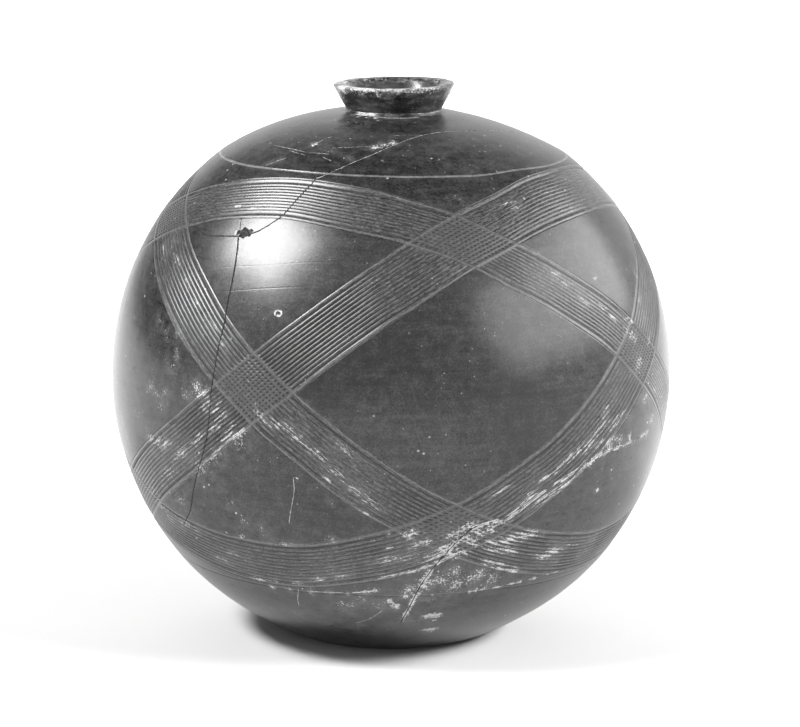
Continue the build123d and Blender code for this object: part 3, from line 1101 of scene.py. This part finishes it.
def wornCollar():
    material, f = newFinish("wornCollar")
    place = f.place()
    worn, inner = f.mask("wear"), f.mask("inner")
    cloud, mottle = f.noise(place, 70, 3.0), f.noise(place, 330, 5.0, 0.7)
    smear = f.noise(f.stretched(place, (150, 150, 420)), 1.0, 5.0, 0.75)
    dust, grain = f.noise(place, 950, 5.0, 0.8), f.noise(place, 2200, 2.0)
    colour = f.mix(f.step(cloud * 0.4 + mottle * 0.4 + grain * 0.2, 0.38, 0.62), 0.005, 0.03)
    colour = f.mix(f.step(smear + worn * 0.1, 0.48, 0.68) * 0.85, colour, 0.1)
    flecks = f.step(dust * 1.4 + worn * 0.34 + (smear - 0.5) * 0.2, 0.9, 1.12) * (1 - inner * 0.6)
    colour = f.mix(flecks, colour, f.mix(f.step(mottle, 0.35, 0.65), 0.25, 0.8))
    shine = 0.2 + mottle * 0.16 + flecks * 0.35 - inner * 0.1
    relief = (mottle * 0.16 + dust * 0.08) * (1 - inner * 0.8) + grain * 0.02
    f.close(colour, shine, relief, ware["specular"], inner)
    return material


def lutingClay():
    material, f = newFinish("lutingClay")
    place = f.place()
    mottle, dust = f.noise(place, 260, 5.0, 0.7), f.noise(place, 900, 4.0, 0.7)
    wear = f.mask("wear")
    # the pale patches are partly pale clay, partly a painted highlight on the cove
    colour = f.mix(f.step(mottle + wear * 0.2, 0.4, 0.7), 0.01, 0.14)
    pale = f.step(mottle * 0.5 + dust * 0.5 + wear * 0.4, 0.7, 0.88)
    colour = f.mix(pale, colour, 0.5)
    f.close(colour, 0.28 + pale * 0.35, mottle * 0.12 + dust * 0.04, ware["specular"])
    return material


def rounded(corners, radii, steps=6):  # closed outline with its corners rounded off
    outline = []
    for k, (corner, radius) in enumerate(zip(corners, radii)):
        before, after = np.array(corners[k - 1]), np.array(corners[(k + 1) % len(corners)])
        corner = np.array(corner)
        a, b = corner + unit(before - corner) * radius, corner + unit(after - corner) * radius
        for t in np.linspace(0, 1, steps if radius else 1):
            outline.append((1 - t) ** 2 * a + 2 * t * (1 - t) * corner + t * t * b if radius else corner)
    return np.array(outline)


def refined(outline, step):
    fine = []
    for a, b in zip(outline, np.roll(outline, -1, 0)):
        pieces = max(1, ceil(np.hypot(*(b - a)) / step))
        fine += [a + (b - a) * k / pieces for k in range(pieces)]
    return np.array(fine)


def lathe(name, outline, columns, shape):
    turns = np.arange(columns) * 2 * pi / columns
    azimuth, r = np.meshgrid(turns, outline[:, 0])
    _, z = np.meshgrid(turns, outline[:, 1])
    points, marked = shape(r, z, azimuth)
    index = np.arange(points[..., 0].size).reshape(r.shape)
    index = np.concatenate([index, index[:1]])
    index = np.concatenate([index, index[:, :1]], 1)
    quads = gridQuads(index)
    data = meshOf(name, points.reshape(-1, 3), quads.tolist())
    data.polygons.foreach_set("use_smooth", np.ones(len(quads), bool))
    data.set_sharp_from_angle(angle=radians(60))
    for label, values in marked.items():
        store(data, label, values.ravel())
    return data


seatHeight = shoulder["seatHeight"]
rimHeight = seatHeight + collarSizes["height"]


def turned(r, z, azimuth):
    return np.stack([r * np.sin(azimuth), -r * np.cos(azimuth), z], -1)


def collarShape(r, z, azimuth):
    rise = np.clip((z - seatHeight) / collarSizes["height"], 0, 1)
    ring = turned(r, z, azimuth)
    outside = r > collarSizes["foot"] - collarSizes["parting"][0] + collarSizes["parting"][1] * rise
    r = r + outside * collarSizes["bulge"] * np.sin(pi * rise)
    frontLeft = np.clip(np.cos(azimuth + radians(collarSizes["frontLeft"])), 0, 1)
    r = r - ~outside * rise**3 * collarSizes["thickened"] * frontLeft
    lip = smooth(collarSizes["lipFrom"], 1.0, rise)
    r = r + lip * (0.16 * ripple(ring, 31, 11) + 0.09 * ripple(ring, 36, 3.2)) + 0.06 * ripple(ring, 32, 5) * rise
    tilt = collarSizes["tilt"]
    z = z + rise * tilt * (r * np.sin(azimuth) - collarSizes["lip"]) + lip * 0.14 * (ripple(ring, 33, 9) - 1.5)
    wear = smooth(0.74 - 0.2 * frontLeft, 0.97, rise + 0.06 * ripple(ring, 37, 5)) * (0.55 + 0.5 * frontLeft)
    wear = wear + 0.18 * ripple(ring, 34, 12)
    inner = ~outside * smooth(1.0, 0.8, rise)
    return turned(r, z, azimuth), dict(wear=wear, inner=inner)


def filletShape(r, z, azimuth):
    ring = turned(r, z, azimuth)
    above = (z > seatHeight + 0.01) | (r > collarSizes["foot"] + 0.3)
    r = r + above * 0.2 * ripple(ring, 35, 12) * (r > collarSizes["foot"] + 0.2)
    # wear here marks the pale patches: pale clay, and a painted highlight on the cove
    wear = np.full(r.shape, 0.15)
    for patch in filletSizes["pale"]:
        away = (np.degrees(azimuth) - patch["azimuth"] + 180) % 360 - 180
        wear = np.maximum(wear, patch["much"] * np.exp(-((away / patch["wide"]) ** 4)))
    return turned(r, z, azimuth), dict(wear=wear)


c = collarSizes
collarCorners = [
    (hollow["throat"], seatHeight),
    (c["foot"], seatHeight),
    (c["foot"], seatHeight + c["footHeight"]),
    (c["lip"], rimHeight),
    (c["lip"] - c["thick"], rimHeight),
    (hollow["throat"], seatHeight + c["throatRise"]),
]
collarOutline = refined(rounded(collarCorners, c["rounding"]), c["step"])[::-1]
filletCorners = [
    (c["foot"], seatHeight),
    (c["foot"] + filletSizes["width"], seatHeight),
    (c["foot"] + filletSizes["hollow"], seatHeight + filletSizes["hollow"]),
    (c["foot"], seatHeight + filletSizes["height"]),
]
filletOutline = refined(rounded(filletCorners, filletSizes["rounding"]), filletSizes["step"])[::-1]

vessel = bpy.data.collections.new("vessel")
blackWare = burnishedWare()
walls = dict(baseBowl=(base, "base_bowl"), lowerBelly=(lower, "lower_belly"))
walls.update(upperBelly=(upper, "upper_belly"), shoulderCap=(cap, "shoulder_cap"))
for name, (wall, node) in walls.items():
    wallPiece(name, wall, node, blackWare)
collar = lathe("neckCollar", collarOutline, collarSizes["columns"], collarShape)
shown("neckCollar", collar, "neck_collar", wornCollar())
fillet = lathe("lutingFillet", filletOutline, filletSizes["columns"], filletShape)
shown("lutingFillet", fillet, "luting_fillet", lutingClay())

# floor, light and surroundings
studio = dict(
    paper=0.36,
    overhead=0.16,
    horizon=1.0,
    backdrop=4.5,
    ceiling=dict(azimuth=20, elevation=50, reach=(37, 10), adds=1.6),  # light from the camera's side
    dim=dict(azimuth=-132, elevation=5, reach=(48, 18), share=0.12),  # the studio is darker behind the softbox
    backTop=0.64,  # and high up at the back
    softbox=dict(azimuth=-77, elevation=47, distance=1.5, size=(0.84, 0.6), power=39),
    sideLight=dict(azimuth=84, elevation=27, distance=1.5, size=(2.2, 0.88), power=28),
    tableLeft=dict(azimuth=-68, elevation=48, spread=10, power=2.75),
    tableRight=dict(azimuth=76, elevation=33, spread=14, power=3.8),
    tableBack=dict(azimuth=180, elevation=23.4, distance=1.0, facing=(0, 0, 1), size=(0.9, 0.6), power=12),
    swing=(-13, 0, 13),  # the table's lamps are wide, and stand as three narrow ones
    sunDistance=3,
    floorHalf=6,
)
floorMesh = bpy.data.meshes.new("floor")
floorCorners = [(x * studio["floorHalf"], y * studio["floorHalf"], 0) for x, y in ((-1, -1), (1, -1), (1, 1), (-1, 1))]
floorMesh.from_pydata(floorCorners, [], [(0, 1, 2, 3)])
floor = added("floor", floorMesh)
table = bpy.data.collections.new("table")
table.objects.link(floor)
paper, f = newFinish("paper")
fibre = f.noise(f.place(), 900, 3.0)
tint = f.mix(f.step(fibre, 0.3, 0.7), studio["paper"] * 0.98, studio["paper"])
f.close(tint, 0.9, fibre * 0.02, 0.2)
floorMesh.materials.append(paper)

world = bpy.data.worlds.new("world")
scene.world = world
world.use_nodes = True
sky = Finish(world.node_tree)
towards = sky.node("ShaderNodeTexCoord", out="Generated")
up = sky.node("ShaderNodeSeparateXYZ", {}, [towards], out="Z")


def inLine(spot):  # 0 to 1, from the outer to the inner reach of a spot in the surroundings
    at = tuple(direction(spot["azimuth"], spot["elevation"]))
    cosine = sky.node("ShaderNodeVectorMath", dict(operation="DOT_PRODUCT"), [towards, at], out="Value")
    return sky.step(cosine, *(cos(radians(angle)) for angle in spot["reach"]))


behind = up.also("Y")
bright = sky.step(up, 0.97, 0.6) * (studio["horizon"] - studio["overhead"]) + studio["overhead"]
bright = bright * (1 - inLine(studio["dim"]) * (1 - studio["dim"]["share"]))
bright = bright + inLine(studio["ceiling"]) * studio["ceiling"]["adds"]
bright = bright * (1 - sky.step(behind, -0.1, 0.4) * sky.step(up, 0.42, 0.66) * studio["backTop"])
bright = bright * (1 + sky.step(behind, 0.66, 0.93) * sky.step(up, 0.45, 0.1) * (studio["backdrop"] - 1))
glow = sky.mix(bright, 0.0, 1.0)
sky.node("ShaderNodeOutputWorld", {}, [sky.node("ShaderNodeBackground", {}, {"Color": glow, "Strength": 1.0})])


def lamp(name, lit, swing=0):
    at = studio[name]
    data = bpy.data.lights.new(name, "AREA" if "size" in at else "SUN")
    data.energy = at["power"]
    if "size" in at:
        data.shape = "RECTANGLE"
        data.size, data.size_y = at["size"]
    else:
        data.angle = radians(at["spread"])
    light = added(name, data)
    aim = Vector(direction(at["azimuth"] + swing, at["elevation"]))
    spot = Matrix.Translation(Vector(middle * mm) + aim * at.get("distance", studio["sunDistance"]))
    light.matrix_world = spot @ Vector(at.get("facing", aim)).to_track_quat("Z", "Y").to_matrix().to_4x4()
    light.light_linking.receiver_collection = lit


lamp("softbox", vessel)
lamp("sideLight", vessel)
lamp("tableBack", table)
for swing in studio["swing"]:
    lamp("tableLeft", table, swing)
    lamp("tableRight", table, swing)

scene.view_settings.view_transform = "Standard"
